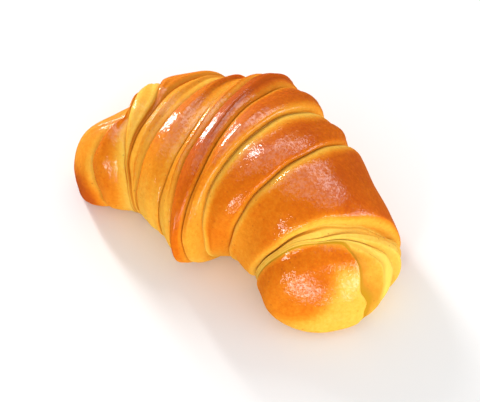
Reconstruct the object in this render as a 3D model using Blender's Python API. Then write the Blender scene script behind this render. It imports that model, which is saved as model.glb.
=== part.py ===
"""Brioche croissant: one triangle of sweet dough, rolled up, bent to a crescent and baked.

The roll follows a curved centre line on the table. Each wrap of dough laps over the next one
towards the nearer horn, so the surface is a row of rounded wraps with an undercut crease between
each two. Sizes are in millimetres and become metres when the mesh is made. The frame has +X from
the left horn to the right horn, +Y to the outer side of the crescent, +Z up, and its origin under
the middle of the whole piece.
"""

import bpy
import numpy as np

MM = 0.001
NAME = "brioche_croissant"

# Centre line in plan, from the left horn's tip to the right horn's tip
ROLL_LENGTH = 143.0
LEFT_BEND = 42.5        # degrees that the left half turns to the inner side
RIGHT_BEND = 42.8       # degrees that the right half turns to the inner side
SWAY = 6.4              # degrees by which the bend is uneven along the roll
LINE_STEPS = 600

# Sections across the roll: place along the centre line, half width, half height
SECTIONS = (
    (0.0, 18.5, 14.0),
    (14.0, 17.0, 19.4),
    (26.0, 22.8, 21.8),
    (42.0, 35.4, 24.3),
    (62.0, 44.6, 26.5),
    (85.0, 35.0, 28.5),
    (108.0, 25.6, 24.0),
    (121.0, 26.0, 19.8),
    (134.0, 28.4, 19.6),
    (143.0, 22.8, 22.2),
)
UPPER_POWER = 2.0       # an ellipse above the middle of the section
LOWER_POWER = 2.6       # squarer below, where the dough settles on the tray
SETTLE = 0.9            # height of the centre line as a share of the half height
BASE_ROUND = 1.5        # height over which the side rounds into the flat base
SLOPE_REACH = 1.5       # distance to each side over which the slope of the line is taken

# Horn ends: length of the rounding, power of its curve (2 is round, more is squarer), and how far
# the tip sinks
LEFT_TIP = 18.5
RIGHT_TIP = 27.0
LEFT_POWER = 2.7
RIGHT_POWER = 2.3
LEFT_SINK = 1.0
RIGHT_SINK = 0.55
TIP_SHRINK = 1.5        # how soon the relief shrinks away at a tip

# Lap lines. Each gives where the line crosses the outer side, the outer shoulder, the crown, the
# inner shoulder and the inner side, as places along the centre line. Then the crease: its depth
# below the roll and its lean under the lip. Then the dough's edge on its left and on its right:
# height above the roll, width of its curve.
LAPS = (
    (30.0, 33.0, 18.5, 13.5, 11.0, 2.4, 0.8, -0.6, 2.5, 1.4, 1.8),
    (31.5, 27.2, 25.8, 24.6, 26.0, 2.2, 0.8, 0.0, 3.0, 1.2, 2.0),
    (32.0, 35.0, 35.5, 35.5, 31.5, 1.4, 0.4, 0.2, 2.0, 1.0, 1.8),
    (51.5, 39.0, 32.0, 27.0, 24.6, 1.1, 0.6, 0.0, 2.5, 1.1, 2.8),
    (54.0, 47.0, 40.5, 33.5, 25.8, 1.4, 0.8, -0.3, 2.5, 1.6, 3.6),
    (60.5, 57.0, 53.5, 48.0, 40.0, 1.6, 0.0, 0.6, 4.0, 0.3, 3.5),
    (63.2, 60.7, 57.7, 53.7, 53.2, 1.9, 1.0, 0.2, 3.0, 1.9, 3.4),
    (71.5, 69.0, 67.0, 67.0, 67.0, 2.2, -0.5, 1.2, 3.2, 0.3, 3.0),
    (81.0, 79.5, 77.5, 75.5, 79.0, 3.0, -1.0, 1.4, 2.8, 0.2, 4.5),
    (92.0, 92.5, 91.5, 92.0, 94.0, 3.2, -1.0, 1.5, 2.8, 0.2, 4.5),
    (123.5, 116.4, 113.2, 112.3, 114.0, 3.2, -1.0, 2.0, 2.6, -0.8, 1.5),
    (124.4, 120.8, 117.0, 113.4, 115.0, 0.6, 0.0, -0.4, 1.0, 0.2, 1.2),
    (128.0, 124.4, 119.4, 113.8, 112.0, 1.8, -0.5, 0.5, 1.1, 0.2, 3.0),
    (132.4, 125.6, 118.0, 112.0, 112.0, 0.6, 0.0, 0.0, 2.0, 2.4, 3.2),
    (137.0, 132.0, 118.2, 113.0, 112.0, 1.3, 0.2, -1.2, 3.2, 0.2, 1.8),
)
STATIONS = (-45.0, 0.0, 60.0, 90.0, 120.0, 180.0, 225.0)   # degrees: side, then the five, then side
CENTRE_LAP = 6          # the laps up to this one give way to the right, the others to the left
LEAST_WIDTH = 0.8       # width that a wrap keeps where its two lap lines meet
LINE_BLEND = 1.0        # length over which one lap line runs into another
FIRST_LINE = 6.0        # least place of a lap line, clear of the left tip
LAST_LINE = 4.0         # least distance of a lap line to the right tip

# Wraps from the left horn to the right: swell of the whole wrap, more swell on the outer side,
# bulge between its two edges, and rows of faces there
WRAPS = (
    (-0.5, -1.4, 0.0, 0),
    (-0.6, -1.4, 0.8, 3),
    (1.4, 1.8, 0.5, 2),
    (1.2, 1.4, 0.2, 1),
    (-1.1, -0.5, 0.8, 4),
    (-1.4, -2.2, 1.2, 4),
    (0.0, -0.1, 0.5, 3),
    (0.0, 0.7, 0.9, 4),
    (0.2, 0.8, 0.8, 4),
    (-0.3, 0.9, 1.0, 4),
    (2.3, 2.3, 0.8, 5),
    (-0.2, 0.1, 0.0, 1),
    (0.6, 2.4, 0.0, 1),
    (-0.9, 0.8, 0.3, 3),
    (-1.0, 0.1, 0.3, 3),
    (0.2, -0.7, 0.0, 0),
)
FULL_WIDTH = 4.0        # width from which a wrap stands at its full height
EDGE_SHARE = 0.85       # most of a wrap's width that its two rounded edges may take
FACING_WIDTH = 3.0      # width left for the edge at a wrap's other side

# Relief over the height of the roll: from the crown down it is full as far as FULL_LEVEL, below the
# middle, then falls away towards the base. Levels are sines of the section's angle.
FULL_LEVEL = -0.12
LOW_LEVEL = -0.95
LEAST_RELIEF = 0.1

# Mesh
AROUND = 42
EDGE_ROWS = 3
TIP_ROWS = 7

CRUST_COLOUR = (0.80, 0.36, 0.07, 1.0)
CRUST_ROUGHNESS = 0.35


def clear_scene():
    for thing in list(bpy.data.objects):
        bpy.data.objects.remove(thing, do_unlink=True)


def through(places, values, at):
    """Smooth curve through the values: cubic pieces with averaged slopes."""
    places, values = np.asarray(places, float), np.asarray(values, float)
    step = np.diff(places)
    rise = np.diff(values) / step
    slope = np.empty_like(values)
    slope[1:-1] = (rise[:-1] * step[1:] + rise[1:] * step[:-1]) / (step[:-1] + step[1:])
    slope[0], slope[-1] = rise[0], rise[-1]
    i = np.clip(np.searchsorted(places, at, side="right") - 1, 0, len(step) - 1)
    t = (at - places[i]) / step[i]
    ends = values[i] * (1 + 2 * t) * (1 - t) ** 2 + values[i + 1] * t * t * (3 - 2 * t)
    return ends + step[i] * (slope[i] * t * (1 - t) ** 2 + slope[i + 1] * t * t * (t - 1))


def eased(t):
    """Runs from 0 to 1 with no slope at either end."""
    return t * t * (3 - 2 * t)


def soft_least(a, b, blend=LINE_BLEND):
    """The smaller of two values, rounded where they cross."""
    return 0.5 * (a + b - np.sqrt((a - b) ** 2 + blend * blend))


def soft_most(a, b, blend=LINE_BLEND):
    """The larger of two values, rounded where they cross."""
    return -soft_least(-a, -b, blend)


def centre_line():
    """Plan of the centre line: heading falls evenly from left to right, plus a sway."""
    along = np.linspace(0.0, ROLL_LENGTH, LINE_STEPS + 1)
    u = along / ROLL_LENGTH
    heading = np.radians(LEFT_BEND - (LEFT_BEND + RIGHT_BEND) * u + SWAY * np.sin(2 * np.pi * u))
    step = along[1]
    x = np.concatenate([[0.0], np.cumsum((np.cos(heading[1:]) + np.cos(heading[:-1])) * step / 2)])
    y = np.concatenate([[0.0], np.cumsum((np.sin(heading[1:]) + np.sin(heading[:-1])) * step / 2)])
    return along, x, y, heading


def towards_tip(t):
    """Eases the step along the centre line to nothing at a tip, so that equal steps of a place
    stay about equal on the rounded end: t + t^2 - t^3."""
    return t + t * t - t ** 3


def tip_distances(place_along):
    """Distance from the full section towards each tip, as shares of the rounded ends."""
    left = np.clip(1 - place_along / LEFT_TIP, 0, 1)
    right = np.clip(1 - (ROLL_LENGTH - place_along) / RIGHT_TIP, 0, 1)
    return towards_tip(left), towards_tip(right)


def half_height(along):
    places, _, heights = np.transpose(SECTIONS)
    return through(places, heights, np.clip(along, 0, ROLL_LENGTH))


def half_width(along):
    places, widths, _ = np.transpose(SECTIONS)
    return through(places, widths, np.clip(along, 0, ROLL_LENGTH))


def place(along, around, lift):
    """Point on the roll. A section stands across the centre line: an ellipse above, a squarer
    curve below, grown by the lift, shrunk at the tips, and pressed flat where it meets the table."""
    line, line_x, line_y, line_heading = centre_line()
    left, right = tip_distances(along)
    share = (1 - left ** LEFT_POWER) ** (1 / LEFT_POWER)
    share = share * (1 - right ** RIGHT_POWER) ** (1 / RIGHT_POWER)
    along = np.where(left > 0, (1 - left) * LEFT_TIP, along)
    along = np.where(right > 0, ROLL_LENGTH - (1 - right) * RIGHT_TIP, along)
    heading = np.interp(along, line, line_heading)
    sink = np.where(along < ROLL_LENGTH / 2, LEFT_SINK, RIGHT_SINK)
    height = half_height(along)
    centre_z = SETTLE * height * (1 - sink * (1 - share))
    rise = half_height(along + SLOPE_REACH) - half_height(along - SLOPE_REACH)
    climb = SETTLE * rise / (2 * SLOPE_REACH)
    level = np.sqrt(1 + climb * climb)
    cos, sin = np.cos(around), np.sin(around)
    power = np.where(sin > 0, UPPER_POWER, LOWER_POWER)
    reach = (np.abs(cos) ** power + np.abs(sin) ** power) ** (-1 / power)
    grown = lift * np.clip(share * TIP_SHRINK, 0, 1)
    outward = (half_width(along) * share + grown) * cos * reach
    upward = (height * share + grown) * sin * reach
    x = np.interp(along, line, line_x) - np.sin(heading) * outward
    y = np.interp(along, line, line_y) + np.cos(heading) * outward
    x = x - np.cos(heading) * climb / level * upward
    y = y - np.sin(heading) * climb / level * upward
    z = centre_z + upward / level
    rounded = (np.clip(z, -BASE_ROUND, BASE_ROUND) + BASE_ROUND) ** 2 / (4 * BASE_ROUND)
    z = np.where(z > BASE_ROUND, z, rounded)
    return np.stack([x, y, z], axis=-1)


def lap_line(lap, around):
    """Places of one lap line at each angle: smooth through its five places over the roll, straight
    down both sides, and eased from one side to the other under the base."""
    outer, outer_shoulder, crown, inner_shoulder, inner = lap[:5]
    angle = (np.degrees(around) - STATIONS[0]) % 360 + STATIONS[0]
    places = (outer, outer, outer_shoulder, crown, inner_shoulder, inner, inner)
    over = through(STATIONS, places, np.minimum(angle, STATIONS[-1]))
    under = np.clip((angle - STATIONS[-1]) / (360 + STATIONS[0] - STATIONS[-1]), 0, 1)
    return over + (outer - inner) * eased(under)


def lap_lines(around):
    """Places of the lap lines at each angle. A line that would cross its neighbour nearer the
    middle runs along it instead, a least width away."""
    lines = [lap_line(lap, around) for lap in LAPS]
    for i in range(CENTRE_LAP - 1, -1, -1):
        lines[i] = soft_least(lines[i], lines[i + 1] - LEAST_WIDTH)
    for i in range(CENTRE_LAP + 1, len(lines)):
        lines[i] = soft_most(lines[i], lines[i - 1] + LEAST_WIDTH)
    lines[0] = soft_most(lines[0], FIRST_LINE)
    lines[-1] = soft_least(lines[-1], ROLL_LENGTH - LAST_LINE)
    return lines


def show_of_relief(around):
    """1 where the laps stand up, fading to almost nothing under the roll."""
    return eased(np.clip((np.sin(around) - LOW_LEVEL) / (FULL_LEVEL - LOW_LEVEL), LEAST_RELIEF, 1.0))


def edge_rows(line, side, width, crest, floor, lean):
    """Rows of a rounded edge, from the crease up towards its crest: a quarter of an ellipse
    that starts under the lip by the lean."""
    rows = []
    for angle in np.linspace(0, np.pi / 2, EDGE_ROWS + 1)[:-1]:
        along = line + side * width * (1 - np.cos(angle)) + lean * (1 - np.sin(angle)) ** 2
        rows.append((along, floor + (crest - floor) * np.sin(angle)))
    return rows


def wrap_bodies(widths, around):
    """Swell of each wrap at each angle. Where a wrap runs out between its neighbours, it takes the
    swell of the one nearer the middle."""
    bodies = [swell + outer_swell * np.cos(around) for swell, outer_swell, _, _ in WRAPS]
    for i in range(CENTRE_LAP, -1, -1):
        bodies[i] = bodies[i + 1] + (bodies[i] - bodies[i + 1]) * presence(widths[i])
    for i in range(CENTRE_LAP + 2, len(bodies)):
        bodies[i] = bodies[i - 1] + (bodies[i] - bodies[i - 1]) * presence(widths[i])
    return bodies


def presence(width):
    """0 where a wrap has run out, 1 from the width at which its relief is full."""
    return eased(np.clip((width - LEAST_WIDTH) / (FULL_WIDTH - LEAST_WIDTH), 0, 1))


def lap_shapes(widths, bodies, around):
    """For each lap line the height of its crease, its lean, and the edges on its two sides. A lap
    fades where the wrap on its middle side runs out."""
    shapes = []
    relief = show_of_relief(around)
    for i, lap in enumerate(LAPS):
        depth, lean, left_crest, left_width, right_crest, right_width = lap[5:]
        fade = presence(widths[i + 1] if i <= CENTRE_LAP else widths[i]) * relief
        floor = (bodies[i] + bodies[i + 1]) / 2 - depth * fade
        left_share = np.minimum(1, EDGE_SHARE * widths[i] / (left_width + FACING_WIDTH))
        right_share = np.minimum(1, EDGE_SHARE * widths[i + 1] / (right_width + FACING_WIDTH))
        left = (left_width * left_share, bodies[i] + left_crest * left_share * fade)
        right = (right_width * right_share, bodies[i + 1] + right_crest * right_share * fade)
        shapes.append((floor, lean * fade, left, right))
    return shapes


def wrap_rows(around):
    """All rows of the surface from the left tip to the right tip, as places and lifts."""
    lines = lap_lines(around)
    bounds = [0 * around] + lines + [0 * around + ROLL_LENGTH]
    widths = [end - start for start, end in zip(bounds, bounds[1:])]
    bodies = wrap_bodies(widths, around)
    shapes = lap_shapes(widths, bodies, around)
    relief = show_of_relief(around)
    rows = []
    for t in np.linspace(0, 1, TIP_ROWS)[1:]:
        rows.append((t * (lines[0] - shapes[0][2][0]), bodies[0] + (shapes[0][2][1] - bodies[0]) * t))
    for i, (floor, lean, left, right) in enumerate(shapes):
        line = lines[i]
        rows += edge_rows(line, -1, left[0], left[1], floor, lean)[:0:-1]
        rows += edge_rows(line, 1, right[0], right[1], floor, lean)
        if i + 1 < len(shapes):
            start, finish = line + right[0], lines[i + 1] - shapes[i + 1][2][0]
            rise = shapes[i + 1][2][1] - right[1]
            bulge = WRAPS[i + 1][2] * presence(widths[i + 1] / 2) * relief
            for t in np.linspace(0, 1, WRAPS[i + 1][3] + 1):
                lift = right[1] + rise * eased(t) + bulge * 4 * t * (1 - t)
                rows.append((start + (finish - start) * t, lift))
    start, crest = lines[-1] + shapes[-1][3][0], shapes[-1][3][1]
    for t in np.linspace(0, 1, TIP_ROWS + 1)[:-1]:
        rows.append((start + (ROLL_LENGTH - start) * t, crest + (bodies[-1] - crest) * t))
    return rows


def closed_mesh(name, rings, start, finish):
    """Mesh of rings of points joined by quads, with a fan of triangles to a point at each end."""
    count, around = rings.shape[:2]
    points = np.concatenate([rings.reshape(-1, 3), [start], [finish]])
    first, last = count * around, count * around + 1
    faces = []
    for row in range(count - 1):
        for k in range(around):
            a, b = row * around + k, row * around + (k + 1) % around
            faces.append((a, b, b + around, a + around))
    for k in range(around):
        after = (k + 1) % around
        faces.append((first, after, k))
        faces.append((last, (count - 1) * around + k, (count - 1) * around + after))
    mesh = bpy.data.meshes.new(name)
    mesh.from_pydata((points * MM).tolist(), [], faces)
    mesh.shade_smooth()
    return mesh


def crust():
    material = bpy.data.materials.new("baked_crust")
    material.use_nodes = True
    shader = material.node_tree.nodes["Principled BSDF"]
    shader.inputs["Base Color"].default_value = CRUST_COLOUR
    shader.inputs["Roughness"].default_value = CRUST_ROUGHNESS
    shader.inputs["Metallic"].default_value = 0.0
    material.diffuse_color = CRUST_COLOUR
    return material


def build_croissant():
    around = np.linspace(0, 2 * np.pi, AROUND, endpoint=False)
    rows = wrap_rows(around)
    along = np.array([row[0] for row in rows])
    lift = np.array([row[1] for row in rows])
    rings = place(along, around[None, :], lift)
    tips = place(np.array([0.0, ROLL_LENGTH]), np.zeros(2), np.zeros(2))
    middle = (rings.max(axis=(0, 1)) + rings.min(axis=(0, 1))) / 2
    middle[2] = 0.0
    mesh = closed_mesh(NAME, rings - middle, tips[0] - middle, tips[1] - middle)
    mesh.materials.append(crust())
    croissant = bpy.data.objects.new(NAME, mesh)
    bpy.context.scene.collection.objects.link(croissant)
    return croissant


clear_scene()
build_croissant()
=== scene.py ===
"""Brioche croissant: a crescent of rolled sweet dough, egg-washed and baked to a glossy brown.

The croissant's sizes are in millimetres and become metres when its mesh is made. The table, the
lights and the camera are in metres.
"""

import bpy
import numpy as np
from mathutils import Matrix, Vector


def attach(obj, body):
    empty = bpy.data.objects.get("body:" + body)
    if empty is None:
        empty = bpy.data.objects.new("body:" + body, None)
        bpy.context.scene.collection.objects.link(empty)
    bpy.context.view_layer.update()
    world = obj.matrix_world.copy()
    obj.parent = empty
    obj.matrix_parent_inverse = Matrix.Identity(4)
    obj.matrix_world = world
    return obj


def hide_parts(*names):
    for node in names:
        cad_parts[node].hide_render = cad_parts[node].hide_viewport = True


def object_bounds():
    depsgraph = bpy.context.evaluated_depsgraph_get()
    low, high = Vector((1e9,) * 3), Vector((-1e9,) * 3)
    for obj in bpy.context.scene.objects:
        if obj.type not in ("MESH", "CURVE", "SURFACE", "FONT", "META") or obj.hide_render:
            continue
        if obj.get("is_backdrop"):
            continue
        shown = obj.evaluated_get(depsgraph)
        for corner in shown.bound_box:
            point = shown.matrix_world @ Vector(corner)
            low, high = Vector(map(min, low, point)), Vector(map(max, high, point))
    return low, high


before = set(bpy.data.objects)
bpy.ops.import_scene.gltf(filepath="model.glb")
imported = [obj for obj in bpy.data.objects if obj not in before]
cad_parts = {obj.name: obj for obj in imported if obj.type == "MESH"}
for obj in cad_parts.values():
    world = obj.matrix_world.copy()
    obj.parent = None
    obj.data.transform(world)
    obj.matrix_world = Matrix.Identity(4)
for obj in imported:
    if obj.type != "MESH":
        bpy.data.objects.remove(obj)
cad_low, cad_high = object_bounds()

# Rolled dough
# A long triangle of soft brioche dough, rolled up and bent to a crescent. Each wrap has swollen
# against the next one in the oven, so they meet in undercut creases, and the underside is flat.

ROLL_LENGTH = 143.0     # along the bent centre line
LEFT_BEND = 42.5        # degrees that the left half turns to the inner side
RIGHT_BEND = 42.8       # degrees that the right half turns to the inner side
SWAY = 6.4              # degrees by which the bend is uneven along the roll
LINE_STEPS = 600        # straight steps in which the centre line is worked out
SECTIONS = np.array([   # place along the centre line, half width, half height
    (0.0, 18.5, 14.0),
    (14.0, 17.0, 19.4),
    (26.0, 22.8, 21.8),
    (42.0, 35.4, 24.3),
    (62.0, 44.6, 26.5),
    (85.0, 35.0, 28.5),
    (108.0, 25.6, 24.0),
    (121.0, 26.0, 19.8),
    (134.0, 28.4, 19.6),
    (143.0, 22.8, 22.2),
])
UPPER_POWER = 2.0       # section above the centre line: 2 is an ellipse
LOWER_POWER = 2.6       # section below it: more than 2 is squarer
SETTLE = 0.9            # height of the centre line as a share of the half height
SLOPE_REACH = 1.5       # distance to each side over which the centre line's slope is taken
BASE_ROUND = 1.5        # height over which the side rounds into the flat base

# Ends of the horns: length of the rounding, how far the tip sinks, the power of the rounding's curve,
# and how fast the relief comes back behind the tip.
LEFT_TIP, RIGHT_TIP = 18.5, 27.0
LEFT_SINK, RIGHT_SINK = 1.0, 0.55
LEFT_POWER, RIGHT_POWER = 2.7, 2.3
TIP_SHRINK = 1.5

# Each crease: where it crosses the outer side, the outer shoulder, the crown, the inner shoulder and
# the inner side, its depth and lean, then the height and width of the rounded edge on its left and on
# its right.
CREASES = (
    (30.0, 33.0, 18.5, 13.5, 11.0, 2.4, 0.8, -0.6, 2.5, 1.4, 1.8),
    (31.5, 27.2, 25.8, 24.6, 26.0, 2.2, 0.8, 0.0, 3.0, 1.2, 2.0),
    (32.0, 35.0, 35.5, 35.5, 31.5, 1.4, 0.4, 0.2, 2.0, 1.0, 1.8),
    (51.5, 39.0, 32.0, 27.0, 24.6, 1.1, 0.6, 0.0, 2.5, 1.1, 2.8),
    (54.0, 47.0, 40.5, 33.5, 25.8, 1.4, 0.8, -0.3, 2.5, 1.6, 3.6),
    (60.5, 57.0, 53.5, 48.0, 40.0, 1.6, 0.0, 0.6, 4.0, 0.3, 3.5),
    (63.2, 60.7, 57.7, 53.7, 53.2, 1.9, 1.0, 0.2, 3.0, 1.9, 3.4),
    (71.5, 69.0, 67.0, 67.0, 67.0, 2.2, -0.5, 1.2, 3.2, 0.3, 3.0),
    (81.0, 79.5, 77.5, 75.5, 79.0, 3.0, -1.0, 1.4, 2.8, 0.2, 4.5),
    (92.0, 92.5, 91.5, 92.0, 94.0, 3.2, -1.0, 1.5, 2.8, 0.2, 4.5),
    (123.5, 116.4, 113.2, 112.3, 114.0, 3.2, -1.0, 2.0, 2.6, -0.8, 1.5),
    (124.4, 120.8, 117.0, 113.4, 115.0, 0.6, 0.0, -0.4, 1.0, 0.2, 1.2),
    (128.0, 124.4, 119.4, 113.8, 112.0, 1.8, -0.5, 0.5, 1.1, 0.2, 3.0),
    (132.4, 125.6, 118.0, 112.0, 112.0, 0.6, 0.0, 0.0, 2.0, 2.4, 3.2),
    (137.0, 132.0, 118.2, 113.0, 112.0, 1.3, 0.2, -1.2, 3.2, 0.2, 1.8),
)
STATIONS = np.array([-45.0, 0.0, 60.0, 90.0, 120.0, 180.0, 225.0])   # degrees round the roll
BASE_SPAN = 90          # degrees of the roll that lie on the base, after the last station
MIDDLE_CREASE = 6       # creases up to this one give way to the right, the others to the left
LEAST_WIDTH = 0.8       # width that is left of a wrap that has run out
FULL_WIDTH = 4.0        # width from which a wrap has all its relief
CREASE_BLEND = 1.0      # width over which a crease bends beside the next one
FIRST_CREASE, LAST_CREASE = 6.0, ROLL_LENGTH - 4.0
WAVERS = ((0.22, 5, 2.1), (0.12, 11, 1.3))   # size, waves round the roll, shift to the next crease

# Each wrap from the left horn to the right: swell all round, more swell on the outer side, and the
# bulge between its two edges.
WRAPS = (
    (-0.5, -1.4, 0.0),
    (-0.6, -1.4, 0.8),
    (1.4, 1.8, 0.5),
    (1.2, 1.4, 0.2),
    (-1.1, -0.5, 0.8),
    (-1.4, -2.2, 1.2),
    (0.0, -0.1, 0.5),
    (0.0, 0.7, 0.9),
    (0.2, 0.8, 0.8),
    (-0.3, 0.9, 1.0),
    (2.3, 2.3, 0.8),
    (-0.2, 0.1, 0.0),
    (0.6, 2.4, 0.0),
    (-0.9, 0.8, 0.3),
    (-1.0, 0.1, 0.3),
    (0.2, -0.7, 0.0),
)
EDGE_SHARE = 0.85       # largest share of a wrap's width that a rounded edge takes
FACING_WIDTH = 3.0      # width kept for the edge that faces it

# The relief is full above one level and fades to the least below another. The level is the sine of
# the angle round the roll.
FULL_LEVEL, LOW_LEVEL, LEAST_RELIEF = -0.12, -0.95, 0.1
SKIN = 0.12             # the crust is drawn this much inside the solid's outer size

# Fine folds that lie along a wrap: wrap, share of its width, half width, height, then the angle
# round the roll of their middle and how far they reach to each side of it, in degrees.
FOLDS = (
    (1, 0.24, 1.3, 0.60, 125, 90),
    (5, 0.14, 0.6, 0.35, 100, 60),
    (5, 0.46, 0.5, -0.16, 95, 60),
    (5, 0.78, 0.9, 0.60, 95, 70),
    (6, 0.35, 0.9, 0.55, 105, 65),
    (6, 0.70, 0.5, 0.28, 110, 70),
    (7, 0.22, 0.5, 0.22, 100, 60),
    (7, 0.78, 0.8, 0.65, 100, 75),
    (8, 0.18, 0.5, 0.34, 95, 60),
    (8, 0.34, 0.5, 0.30, 90, 55),
    (9, 0.22, 0.9, 0.55, 95, 75),
    (9, 0.55, 0.7, -0.35, 60, 40),
    (10, 0.16, 1.0, 0.55, 95, 70),
    (4, 0.30, 0.5, 0.12, 100, 60),
    (4, 0.55, 0.5, -0.12, 95, 70),
    (13, 0.60, 0.8, -0.25, 50, 60),
)

# The dough is never quite even. Size, then radians along each millimetre, waves round and start.
UNEVEN = ((0.16, 0.21, 3, 0.0), (0.10, 0.47, -5, 1.0))

# Grid of the crust: points round the roll above and below its middle, rows along each wrap's body by
# their spacing and limits, then rows of a rounded edge and of a horn's end.
COLUMNS_ABOVE, COLUMNS_BELOW = 116, 60
ROW_SPACING, LEAST_ROWS, MOST_ROWS = 0.75, 5, 24
EDGE_ROWS, TIP_ROWS = 8, 26
LEAST_SPAN = 0.1        # least width that anything is divided by
BOX_GAP = 0.02          # gap kept between the crust and the solid's box, both sides together


def through(places, values, at):
    """Smooth curve through the values: cubic pieces whose slopes are averages of the rises."""
    step = np.diff(places)
    rise = np.diff(values) / step
    slope = np.empty_like(values)
    slope[1:-1] = (rise[:-1] * step[1:] + rise[1:] * step[:-1]) / (step[:-1] + step[1:])
    slope[0], slope[-1] = rise[0], rise[-1]
    i = np.clip(np.searchsorted(places, at, side="right") - 1, 0, len(step) - 1)
    t = (at - places[i]) / step[i]
    ends = values[i] * (1 + 2 * t) * (1 - t) ** 2 + values[i + 1] * t * t * (3 - 2 * t)
    return ends + step[i] * (slope[i] * t * (1 - t) ** 2 + slope[i + 1] * t * t * (t - 1))


def eased(t):
    """0 below 0, 1 above 1, and 3 t squared less 2 t cubed between."""
    t = np.clip(t, 0, 1)
    return t * t * (3 - 2 * t)


def soft_least(a, b):
    """The smaller of two values, rounded where they cross: half of their sum less the root of their
    squared difference plus the squared blend."""
    return 0.5 * (a + b - np.sqrt((a - b) ** 2 + CREASE_BLEND ** 2))


def half_size(along, column):
    """Half width (column 1) or half height (column 2) of the roll at a place along it."""
    return through(SECTIONS[:, 0], SECTIONS[:, column], np.clip(along, 0, ROLL_LENGTH))


def on_roll(along, around, lift):
    """Point of the dough: an ellipse across the centre line above, squarer below, grown by the
    lift, shrunk towards the tips, leaning with the centre line's slope, and pressed flat at 0."""
    u = np.linspace(0, 1, LINE_STEPS + 1)
    heading = np.radians(LEFT_BEND - (LEFT_BEND + RIGHT_BEND) * u + SWAY * np.sin(2 * np.pi * u))
    step = ROLL_LENGTH / LINE_STEPS
    line_x = np.concatenate([[0], np.cumsum(np.cos(heading[1:]) + np.cos(heading[:-1]))]) * step / 2
    line_y = np.concatenate([[0], np.cumsum(np.sin(heading[1:]) + np.sin(heading[:-1]))]) * step / 2
    left = np.clip(1 - along / LEFT_TIP, 0, 1)
    right = np.clip(1 - (ROLL_LENGTH - along) / RIGHT_TIP, 0, 1)
    left, right = left + left ** 2 - left ** 3, right + right ** 2 - right ** 3
    share = (1 - left ** LEFT_POWER) ** (1 / LEFT_POWER)
    share = share * (1 - right ** RIGHT_POWER) ** (1 / RIGHT_POWER)
    along = np.where(left > 0, (1 - left) * LEFT_TIP, along)
    along = np.where(right > 0, ROLL_LENGTH - (1 - right) * RIGHT_TIP, along)
    here = along / ROLL_LENGTH
    turn = np.interp(here, u, heading)
    sink = np.where(here < 0.5, LEFT_SINK, RIGHT_SINK)
    height = half_size(along, 2)
    ahead, behind = half_size(along + SLOPE_REACH, 2), half_size(along - SLOPE_REACH, 2)
    climb = SETTLE * (ahead - behind) / (2 * SLOPE_REACH)
    level = np.sqrt(1 + climb * climb)
    cos, sin = np.cos(around), np.sin(around)
    power = np.where(sin > 0, UPPER_POWER, LOWER_POWER)
    reach = (np.abs(cos) ** power + np.abs(sin) ** power) ** (-1 / power)
    grown = (lift - SKIN) * np.clip(share * TIP_SHRINK, 0, 1)
    outward = (half_size(along, 1) * share + grown) * cos * reach
    upward = (height * share + grown) * sin * reach
    x = np.interp(here, u, line_x) - np.sin(turn) * outward - np.cos(turn) * climb / level * upward
    y = np.interp(here, u, line_y) + np.cos(turn) * outward - np.sin(turn) * climb / level * upward
    z = SETTLE * height * (1 - sink * (1 - share)) + upward / level
    rounded = (np.clip(z, -BASE_ROUND, BASE_ROUND) + BASE_ROUND) ** 2 / (4 * BASE_ROUND)
    return np.stack([x, y, np.where(z > BASE_ROUND, z, rounded)], axis=-1)


def crease_places(around):
    """Place of each crease at each angle: smooth through its five given places, straight down both
    sides and eased across the base, a slight waver, and a least width kept from its neighbour."""
    first, last = STATIONS[0], STATIONS[-1]
    angle = (np.degrees(around) - first) % 360 + first
    base = eased((angle - last) / BASE_SPAN)
    places = []
    for number, (outer, outer_shoulder, crown, inner_shoulder, inner, *_) in enumerate(CREASES):
        given = np.array([outer, outer, outer_shoulder, crown, inner_shoulder, inner, inner])
        over = through(STATIONS, given, np.minimum(angle, last)) + (outer - inner) * base
        waver = sum(size * np.sin(waves * around + shift * number) for size, waves, shift in WAVERS)
        places.append(over + waver)
    for i in range(MIDDLE_CREASE - 1, -1, -1):
        places[i] = soft_least(places[i], places[i + 1] - LEAST_WIDTH)
    for i in range(MIDDLE_CREASE + 1, len(places)):
        places[i] = -soft_least(-places[i], -places[i - 1] - LEAST_WIDTH)
    places[0] = -soft_least(-places[0], 0 * around - FIRST_CREASE)
    places[-1] = soft_least(places[-1], 0 * around + LAST_CREASE)
    return np.array(places)


def presence(width):
    """0 where a wrap has run out between its neighbours, 1 where it is wide."""
    return eased((width - LEAST_WIDTH) / (FULL_WIDTH - LEAST_WIDTH))


def wrap_levels(widths, around):
    """Swell of each wrap at each angle. A wrap that runs out takes its inner neighbour's swell."""
    levels = [swell + outer * np.cos(around) for swell, outer, _ in WRAPS]
    for i in range(MIDDLE_CREASE, -1, -1):
        levels[i] = levels[i + 1] + (levels[i] - levels[i + 1]) * presence(widths[i])
    for i in range(MIDDLE_CREASE + 2, len(levels)):
        levels[i] = levels[i - 1] + (levels[i] - levels[i - 1]) * presence(widths[i])
    return levels


def edge(line, side, width, crest, floor, lean, steps):
    """Rounded edge of a wrap from the crease up: a quarter of an ellipse, moved by the lean under
    the lip where it starts."""
    angle = np.linspace(0, np.pi / 2, steps, endpoint=False)[:, None]
    rise = np.sin(angle)
    along = line + side * width * (1 - np.cos(angle)) + lean * (1 - rise) ** 2
    return along, floor + (crest - floor) * rise


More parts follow.
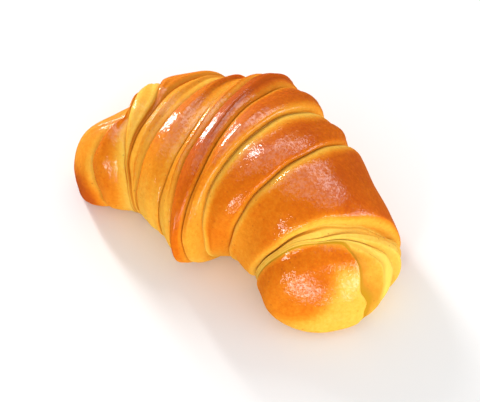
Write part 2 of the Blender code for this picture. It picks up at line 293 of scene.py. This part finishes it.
def wrap_grid(i, lines, widths, levels, around):
    """Rows of wrap i from its left crease to its right one, as places and lifts: rounded edge, body
    that eases from one crest to the other with a parabolic bulge and bell-shaped fine folds,
    rounded edge."""
    relief = eased(np.clip((np.sin(around) - LOW_LEVEL) / (FULL_LEVEL - LOW_LEVEL), LEAST_RELIEF, 1))

    def crease(k):
        """Floor and lean of crease k, then the width and crest of the edge on each side of it."""
        depth, lean, left_crest, left_width, right_crest, right_width = CREASES[k][5:]
        fade = presence(widths[k + 1] if k <= MIDDLE_CREASE else widths[k]) * relief
        left = np.minimum(1, EDGE_SHARE * widths[k] / (left_width + FACING_WIDTH))
        right = np.minimum(1, EDGE_SHARE * widths[k + 1] / (right_width + FACING_WIDTH))
        floor = (levels[k] + levels[k + 1]) / 2 - depth * fade
        return (floor, lean * fade, left_width * left, levels[k] + left_crest * left * fade,
                right_width * right, levels[k + 1] + right_crest * right * fade)

    first, last = i == 0, i == len(lines)
    if not first:
        floor, lean, _, _, width, crest = crease(i - 1)
        start_edge = edge(lines[i - 1], 1, width, crest, floor, lean, EDGE_ROWS)
        start, start_lift = lines[i - 1] + width, crest
    if not last:
        floor, lean, width, crest, _, _ = crease(i)
        end_edge = edge(lines[i], -1, width, crest, floor, lean, EDGE_ROWS)
        end, end_lift = lines[i] - width, crest
    if first:
        start, start_lift = 0 * around, levels[0]
    if last:
        end, end_lift = 0 * around + ROLL_LENGTH, levels[-1]
    steps = int(np.clip(np.mean(end - start) / ROW_SPACING, LEAST_ROWS, MOST_ROWS))
    if first or last:
        steps = TIP_ROWS
    t = np.linspace(0, 1, steps + 1)[:, None]
    if first:
        t = t[1:]
    if last:
        t = t[:-1]
    body = start + (end - start) * t
    bulge = WRAPS[i][2] * presence(widths[i] / 2) * relief
    lift = start_lift + (end_lift - start_lift) * eased(t) + bulge * 4 * t * (1 - t)
    across = (body - (0 if first else lines[i - 1])) / np.maximum(widths[i], LEAST_SPAN)
    for wrap, share, half, height, middle, spread in FOLDS:
        if wrap == i:
            window = eased(2 - 2 * np.abs(np.degrees(around) - middle) / spread)
            off = (across - share) * widths[i] / half
            lift = lift + height * window * presence(widths[i] / 2) * np.exp(-off ** 2)
    parts = [(body, lift)]
    if not first:
        parts.insert(0, start_edge)
    if not last:
        parts.append((end_edge[0][:0:-1], end_edge[1][:0:-1]))
    return np.concatenate([p[0] for p in parts]), np.concatenate([p[1] for p in parts])


around = np.concatenate([np.linspace(0, np.pi, COLUMNS_ABOVE, endpoint=False),
                         np.linspace(np.pi, 2 * np.pi, COLUMNS_BELOW, endpoint=False)])
lines = crease_places(around)
bounds = np.concatenate([[0 * around], lines, [0 * around + ROLL_LENGTH]])
widths = np.diff(bounds, axis=0)
levels = wrap_levels(widths, around)
grids = [wrap_grid(i, lines, widths, levels, around) for i in range(len(WRAPS))]
along = np.concatenate([g[0] for g in grids])
lift = np.concatenate([g[1] for g in grids])
wrap = np.concatenate([np.full(len(g[0]), i) for i, g in enumerate(grids)])
unevenness = sum(size * np.sin(rate * along + waves * around + start)
                 for size, rate, waves, start in UNEVEN)
dough = on_roll(along, around, lift + unevenness)
tips = on_roll(np.array([0.0, ROLL_LENGTH]), np.zeros(2), np.zeros(2))

# The plan is centred in the solid's box and kept inside it.
low, high = dough.min(axis=(0, 1)), dough.max(axis=(0, 1))
room = (np.array(cad_high) - np.array(cad_low)) * 1000
fit = np.minimum(1, (room - BOX_GAP) / (high - low))
shift = (low + high) / 2 * [1, 1, 0]   # the base stays on the table
dough = (dough - shift) * fit
tips = (tips - shift) * fit

# Baked crust
# Egg wash was brushed over the top and baked to a thin glossy skin. It is darkest where a wrap
# stands up into the oven's heat, golden on the sides, and bare pale dough shows in the creases.

# Each wrap: how brown it is on the inner side, the crown and the outer side, then how brown its left
# and right edges are and over what width.
BROWNING = np.array([
    (0.56, 0.50, 0.50, 0.68, 3.0, 0.22, 3.5),
    (0.60, 0.76, 0.60, 0.70, 2.0, 0.10, 8.5),
    (0.20, 0.20, 0.26, 0.46, 1.4, 0.16, 3.0),
    (0.62, 0.68, 0.62, 0.60, 1.5, 0.55, 2.0),
    (0.22, 0.36, 0.45, 0.55, 1.6, 0.25, 4.0),
    (0.16, 0.68, 0.66, 0.80, 1.8, 0.34, 5.0),
    (0.20, 0.62, 0.60, 0.40, 3.0, 0.35, 3.0),
    (0.82, 1.00, 0.96, 0.20, 1.2, 0.42, 3.0),
    (0.34, 0.84, 0.80, 0.35, 3.0, 0.32, 3.0),
    (0.62, 0.90, 0.84, 0.00, 5.5, 0.42, 2.0),
    (0.48, 0.88, 0.84, 0.12, 4.5, 0.16, 3.5),
    (0.06, 0.06, 0.06, 0.04, 1.0, 0.04, 1.0),
    (0.16, 0.08, 0.05, 0.06, 1.0, 0.10, 1.0),
    (0.03, 0.00, 0.00, 0.03, 1.0, 0.00, 1.0),
    # next-to-last wrap: the browner tone of its right edge beside the right horn's face is painted
    # shade of the trough
    (0.26, 0.30, 0.40, 0.03, 1.8, 0.66, 4.6),
    (0.66, 0.78, 0.70, 0.45, 3.0, 0.40, 2.0),
])
left_horn = (wrap == 0)[:, None]
right_horn = (wrap == len(WRAPS) - 1)[:, None]
LOW_LOSS, LOW_RATE = 0.6, 1.4          # share of the browning lost on the flanks, and how fast
LEFT_SHARE, RIGHT_SHARE = 0.5, 0.7     # largest shares of a wrap that its two edge values take
LEAST_FADE = 0.2                       # least width over which an edge value fades

# The right horn ends in a round face. Its directions across and up, its pale tone, the middle, radius
# and soft rim of its browned patch, then the level below which it may be pale and how softly.
FACE_ACROSS, FACE_UP = (0.842, 0.540, 0.0), (-0.436, 0.679, 0.591)
FACE_TONE = 0.17
PATCH_ACROSS, PATCH_UP, PATCH_RADIUS, PATCH_RIM = 14.0, -25.0, 14, 9
PALE_LEVEL, PALE_RIM = -17, 8

# The left horn is darker at its rim, and darkest at the corner that touches the tray.
RIM_TONE, RIM_WIDTH = 0.35, 5
CORNER, CORNER_TONE, CORNER_REACH, CORNER_FADE = (-60.0, -39.0, 8.0), 0.75, 19, 16


def wrap_browning(points):
    """Browning from 0 to 1: a wave round the roll through the wrap's three values, less of it below
    the middle, and eased to the edge values towards the creases. On the last wrap it eases to the
    pale tone outside the browned patch, and the first one gains the tones of its rim and corner."""
    inner, crown, outer, left_tone, left_width, right_tone, right_width = BROWNING[wrap].T[:, :, None]
    cos, sin = np.cos(around), np.sin(around)
    middle = (outer + inner) / 2
    tone = middle + (outer - middle) * cos + (crown - middle) * np.maximum(sin, 0)
    tone = tone * (1 - LOW_LOSS * eased(-sin * LOW_RATE))
    from_left = along - bounds[wrap]
    from_right = bounds[wrap + 1] - along
    room_left = np.maximum(np.minimum(left_width, LEFT_SHARE * widths[wrap]), LEAST_FADE)
    room_right = np.maximum(np.minimum(right_width, RIGHT_SHARE * widths[wrap]), LEAST_FADE)
    tone = left_tone + (tone - left_tone) * eased(from_left / room_left)
    tone = right_tone + (tone - right_tone) * eased(from_right / room_right)
    across, up = points @ FACE_ACROSS, points @ FACE_UP
    from_patch = np.hypot(across - PATCH_ACROSS, up - PATCH_UP) - PATCH_RADIUS
    pale = eased(from_patch / PATCH_RIM) * eased((PALE_LEVEL - up) / PALE_RIM)
    tone = np.where(right_horn, tone + (FACE_TONE - tone) * pale, tone)
    rim = RIM_TONE * eased((RIM_WIDTH - along) / RIM_WIDTH)
    from_corner = np.linalg.norm(points - CORNER, axis=-1)
    return tone + left_horn * (rim + CORNER_TONE * eased((CORNER_REACH - from_corner) / CORNER_FADE))


# Painted shade: dark lines along the creases, and a broader painted shade in the trough beside the
# right horn's face.
LINE_WIDTH, TROUGH_SHADE, TROUGH_WIDTH = 0.45, 1.8, 2.9


def crease_shade():
    """Painted shade from 0 up: a bell curve over the distance to the nearest crease, and over a
    greater width in the trough, where it passes 1. The horns' tips aren't creases."""
    from_left = np.where(left_horn, np.inf, along - bounds[wrap])
    from_right = np.where(right_horn, np.inf, bounds[wrap + 1] - along)
    line = np.exp(-(np.minimum(from_left, from_right) / LINE_WIDTH) ** 2)
    in_trough = (wrap == len(WRAPS) - 2)[:, None]
    trough = TROUGH_SHADE * np.exp(-((bounds[-2] - along) / TROUGH_WIDTH) ** 2)
    return np.where(in_trough, np.maximum(line, trough), line)


# Egg wash on each wrap, from the left horn to the right. The brush reaches down to one level, the sine
# of the angle round the roll, and on the outer side most of the wash lies above a higher one.
WASH = np.array([0.4, 1.0, 0.5, 0.8, 0.5, 0.9, 0.8, 0.8, 1.0, 1.0, 1.0, 0.15, 0.3, 0.4, 0.1, 1.0])
WASH_LEVEL, WASH_RISE = 0.08, 0.38
OUTER_LEVEL, OUTER_RISE, OUTER_LEAST = 0.5, 0.35, 0.25
PALE_WASH, PALE_LIMIT, PALE_RISE = 0.35, 0.1, 0.3    # wash left on pale dough, and up to which tone


def brushed_wash():
    """Egg wash from 0 to 1: the wrap's own value, eased in above the level that the brush reaches,
    times less on the outer side and on pale dough, and none in the creases. Pale dough takes
    nothing from the right horn's wash."""
    height = np.sin(around)
    outer = OUTER_LEAST + (1 - OUTER_LEAST) * eased((height - OUTER_LEVEL) / OUTER_RISE)
    reached = eased((height - WASH_LEVEL) / WASH_RISE) * np.where(np.cos(around) > 0, outer, 1)
    on_pale = PALE_WASH + (1 - PALE_WASH) * eased((browning - PALE_LIMIT) / PALE_RISE)
    out_of_crease = 1 - np.minimum(painted_crease_shade, 1)
    return WASH[wrap][:, None] * reached * out_of_crease * np.where(right_horn, 1, on_pale)


TRAY_HEIGHT, TRAY_FADE = 2.2, 2.0      # height up to which the tray browns the dough, and its fade
browning = wrap_browning(dough)
painted_crease_shade = crease_shade()
underside = eased((TRAY_HEIGHT - dough[..., 2]) / TRAY_FADE)
egg_wash = brushed_wash()


def closed_grid(name, rings, ends):
    """Mesh in metres: each point joined to the next one in its ring and in the next ring, and each
    end closed by a fan of triangles to one point."""
    count, columns = rings.shape[:2]
    k = np.arange(columns)
    after = (k + 1) % columns
    rows = np.arange(count - 1)[:, None] * columns
    quads = np.stack([rows + k, rows + after, rows + columns + after, rows + columns + k], axis=-1)
    tip = count * columns
    top = tip - columns
    fans = np.concatenate([np.stack([0 * k + tip, after, k], axis=-1),
                           np.stack([0 * k + tip + 1, top + k, top + after], axis=-1)])
    mesh = bpy.data.meshes.new(name)
    points = np.concatenate([rings.reshape(-1, 3), ends]) * 0.001
    mesh.from_pydata(points.tolist(), [], quads.reshape(-1, 4).tolist() + fans.tolist())
    mesh.shade_smooth()
    return mesh


def point_values(mesh, name, values):
    """Attribute with one value for each grid point, and the end rows' means for the two tips."""
    ends = [values[0].mean(), values[-1].mean()]
    data = np.concatenate([values.ravel(), ends]).astype(np.float32)
    mesh.attributes.new(name, "FLOAT", "POINT").data.foreach_set("value", data)


# Colours of the crust from bare dough to the darkest brown, then of its freckles, of the painted shade
# in the creases and in the trough, and of the side baked on the tray.
CRUST_COLOURS = (
    (0.0, (0.88, 0.56, 0.090, 1)),
    (0.25, (0.86, 0.41, 0.040, 1)),
    (0.5, (0.79, 0.26, 0.012, 1)),
    (0.75, (0.68, 0.155, 0.003, 1)),
    (1.0, (0.52, 0.085, 0.002, 1)),
)
FRECKLE_COLOUR = (0.36, 0.06, 0.01, 1)
CREASE_SHADE_COLOUR, TROUGH_SHADE_COLOUR = (0.50, 0.25, 0.025, 1), (0.50, 0.25, 0.003, 1)
TRAY_COLOUR = (0.50, 0.16, 0.025, 1)

# How often each pattern of the crust repeats in a metre, roughly, and then how strong each one is.
MOTTLES, GRAINS, FRECKLES, WAVES, PITS, BLISTERS = 55, 620, 260, 190, 850, 950
MOTTLE_TONE, GRAIN_TONE = 0.35, 0.45
FRECKLE_RADIUS, FRECKLE_STRENGTH = 0.10, 0.35      # radius as a share of the cell
CREASE_SHADE_STRENGTH = 0.45
TRAY_STRENGTH, TRAY_PATCHES = 0.75, 1.6
PIT_CONTRAST, PIT_START, PITTED_COAT = 7.0, -3.0, 0.25
BUMP_HEIGHT, BLISTER_SHARE, WAVE_SHARE = 0.00028, 0.5, 0.6
DRY_ROUGHNESS, WASHED_ROUGHNESS = 0.6, 0.45


def baked_crust():
    """Material: the crust's colours over the browning plus mottling and grain, freckles where a cell's
    distance is small, painted shade in the creases and the trough, a patchy matte underside, and a
    glossy coat thinned by pits and bumped by waves and blisters."""
    material = bpy.data.materials.new("baked_crust")
    material.use_nodes = True
    tree = material.node_tree
    nodes, links = tree.nodes, tree.links
    shader = nodes["Principled BSDF"]

    def node(kind, **values):
        made = nodes.new(kind)
        for key, value in values.items():
            if key in made.inputs:
                made.inputs[key].default_value = value
            else:
                setattr(made, key, value)
        return made

    def attribute(name):
        return node("ShaderNodeAttribute", attribute_name=name).outputs["Fac"]

    def math(operation, a, b=None, c=None, clamp=False):
        made = nodes.new("ShaderNodeMath")
        made.operation, made.use_clamp = operation, clamp
        for socket, value in zip(made.inputs, (a, b, c)):
            if isinstance(value, (int, float)):
                socket.default_value = value
            elif value is not None:
                links.new(value, socket)
        return made.outputs[0]

    def noise(scale, detail=2.0, roughness=0.5):
        made = node("ShaderNodeTexNoise", Scale=scale, Detail=detail, Roughness=roughness)
        links.new(where, made.inputs["Vector"])
        return made.outputs["Fac"]

    def mixed(factor, a, b):
        made = node("ShaderNodeMix", data_type="RGBA")
        for socket, value in ((made.inputs[0], factor), (made.inputs[6], a), (made.inputs[7], b)):
            if isinstance(value, (int, float, tuple)):
                socket.default_value = value
            else:
                links.new(value, socket)
        return made.outputs[2]

    where = nodes.new("ShaderNodeTexCoord").outputs["Object"]
    brown = attribute("browning")
    mottle = math("SUBTRACT", noise(MOTTLES, 3), 0.5)
    grain = math("SUBTRACT", noise(GRAINS, 3, 0.7), 0.5)
    tone = math("MULTIPLY_ADD", mottle, MOTTLE_TONE, brown)
    tone = math("MULTIPLY_ADD", grain, GRAIN_TONE, tone, clamp=True)

    ramp = nodes.new("ShaderNodeValToRGB")
    while len(ramp.color_ramp.elements) < len(CRUST_COLOURS):
        ramp.color_ramp.elements.new(0.5)
    for element, (position, colour) in zip(ramp.color_ramp.elements, CRUST_COLOURS):
        element.position, element.color = position, colour
    links.new(tone, ramp.inputs[0])

    freckle_cells = node("ShaderNodeTexVoronoi", Scale=FRECKLES)
    links.new(where, freckle_cells.inputs["Vector"])
    inside = math("LESS_THAN", freckle_cells.outputs["Distance"], FRECKLE_RADIUS)
    freckle = math("MULTIPLY", inside, FRECKLE_STRENGTH)
    colour = mixed(freckle, ramp.outputs["Color"], FRECKLE_COLOUR)
    # Painted shade: the creases darkened, and past 1 the trough beside the right horn darkened
    # further.
    crease = attribute("painted_crease_shade")
    colour = mixed(math("MULTIPLY", crease, CREASE_SHADE_STRENGTH, clamp=True), colour, CREASE_SHADE_COLOUR)
    colour = mixed(math("SUBTRACT", crease, 1.0, clamp=True), colour, TROUGH_SHADE_COLOUR)
    patchy = math("MULTIPLY_ADD", mottle, TRAY_PATCHES, TRAY_STRENGTH, clamp=True)
    colour = mixed(math("MULTIPLY", attribute("underside"), patchy), colour, TRAY_COLOUR)
    links.new(colour, shader.inputs["Base Color"])

    gloss = attribute("egg_wash")
    pits = math("MULTIPLY_ADD", noise(PITS, 2, 0.6), PIT_CONTRAST, PIT_START, clamp=True)
    coat = math("MULTIPLY", gloss, math("MULTIPLY_ADD", pits, 1 - PITTED_COAT, PITTED_COAT))
    links.new(coat, shader.inputs["Coat Weight"])
    smoother = WASHED_ROUGHNESS - DRY_ROUGHNESS
    links.new(math("MULTIPLY_ADD", gloss, smoother, DRY_ROUGHNESS), shader.inputs["Roughness"])
    shader.inputs["Coat Roughness"].default_value = 0.05
    shader.inputs["Coat IOR"].default_value = 1.6
    shader.inputs["Specular IOR Level"].default_value = 0.05
    shader.inputs["Subsurface Weight"].default_value = 0.12
    shader.inputs["Subsurface Radius"].default_value = (1.0, 0.45, 0.12)
    shader.inputs["Subsurface Scale"].default_value = 0.0025

    blisters = noise(BLISTERS, 2, 0.6)
    waves = noise(WAVES, 2, 0.5)
    height = math("MULTIPLY_ADD", blisters, BLISTER_SHARE, math("MULTIPLY", waves, WAVE_SHARE))
    bump = node("ShaderNodeBump", Strength=1.0, Distance=BUMP_HEIGHT)
    links.new(height, bump.inputs["Height"])
    links.new(bump.outputs["Normal"], shader.inputs["Normal"])
    links.new(bump.outputs["Normal"], shader.inputs["Coat Normal"])
    material.diffuse_color = (0.80, 0.36, 0.07, 1)
    return material


crust = closed_grid("brioche_crust", dough, tips)
point_values(crust, "browning", browning)
point_values(crust, "painted_crease_shade", painted_crease_shade)
point_values(crust, "underside", underside)
point_values(crust, "egg_wash", egg_wash)
crust.materials.append(baked_crust())
croissant = bpy.data.objects.new("brioche_crust", crust)
bpy.context.scene.collection.objects.link(croissant)
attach(croissant, "root")
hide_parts("brioche_croissant")

# White table
# A plain matte white board that the croissant lies on, much larger than the picture. It isn't
# mirrored in the glaze.

TABLE_HALF = 3
corners = [(-1, -1), (1, -1), (1, 1), (-1, 1)]
floor_mesh = bpy.data.meshes.new("table_top")
floor_mesh.from_pydata([(x * TABLE_HALF, y * TABLE_HALF, 0) for x, y in corners], [], [(0, 1, 2, 3)])
table_white = bpy.data.materials.new("table_white")
table_white.use_nodes = True
table_shader = table_white.node_tree.nodes["Principled BSDF"]
table_shader.inputs["Base Color"].default_value = (0.9, 0.9, 0.9, 1)
table_shader.inputs["Roughness"].default_value = 0.9
table_shader.inputs["Specular IOR Level"].default_value = 0.1
floor_mesh.materials.append(table_white)
table_top = bpy.data.objects.new("table_top", floor_mesh)
table_top.visible_glossy = False
bpy.context.scene.collection.objects.link(table_top)
table_top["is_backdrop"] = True

# Studio light
# Six soft panels round the croissant in a white room: overhead, behind, a narrow bright strip on the
# left, a small one in front, a low one beside it and one on the right. The first two give the broad
# sheen of the glaze alone, and the room lights the dough.

# name, azimuth, elevation, distance, width, height, brightness of its face, whether it lights dough
PANELS = (
    ("overhead_panel", 98, 74, 1.2, 2.2, 1.2, 1.6, False),
    ("back_panel", 92, 52, 1.3, 1.5, 0.5, 3.0, False),
    ("left_strip", 157, 17, 1.1, 0.11, 0.85, 46.0, True),
    ("front_panel", -76, 24, 1.1, 0.18, 0.22, 17.0, True),
    ("low_panel", -54, 6, 1.1, 0.40, 0.26, 8.0, True),
    ("right_panel", 5, 9, 1.1, 1.3, 0.40, 4.6, True),
)
PANEL_AIM = Vector((0, 0, 0.03))       # middle of the croissant
ROOM_LIGHT = 0.73
for name, azimuth, elevation, distance, width, height, brightness, lights_dough in PANELS:
    panel = bpy.data.lights.new(name, "AREA")
    panel.shape = "RECTANGLE"
    panel.size, panel.size_y = width, height
    panel.energy = brightness * np.pi * width * height
    a, e = np.radians(azimuth), np.radians(elevation)
    towards = Vector((np.cos(a) * np.cos(e), np.sin(a) * np.cos(e), np.sin(e)))
    light = bpy.data.objects.new(name, panel)
    light.location = towards * distance + PANEL_AIM
    light.rotation_euler = towards.to_track_quat("Z", "Y").to_euler()
    light.visible_diffuse = lights_dough
    bpy.context.scene.collection.objects.link(light)

world = bpy.data.worlds.new("white_room")
world.use_nodes = True
world.node_tree.nodes["Background"].inputs["Color"].default_value = (1, 1, 1, 1)
world.node_tree.nodes["Background"].inputs["Strength"].default_value = ROOM_LIGHT
world.cycles_visibility.glossy = False
bpy.context.scene.world = world
bpy.context.scene.view_settings.view_transform = "Standard"

# Camera
# It looks down at the inner side of the crescent from in front and a little to the right, from
# about 600 mm away with a long lens.

CAMERA_AZIMUTH, CAMERA_ELEVATION, CAMERA_DISTANCE = np.radians(33.5), np.radians(54.0), 0.6
aim = Vector((0.0062, -0.0167, 0.030))
back = Vector((np.sin(CAMERA_AZIMUTH) * np.cos(CAMERA_ELEVATION),
               -np.cos(CAMERA_AZIMUTH) * np.cos(CAMERA_ELEVATION), np.sin(CAMERA_ELEVATION)))
camera_data = bpy.data.cameras.new("camera")
camera_data.sensor_width = 36.0
camera_data.lens = 116.1
camera = bpy.data.objects.new("camera", camera_data)
camera.location = aim + back * CAMERA_DISTANCE
camera.rotation_euler = back.to_track_quat("Z", "Y").to_euler()
bpy.context.scene.collection.objects.link(camera)
bpy.context.scene.camera = camera

low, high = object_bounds()
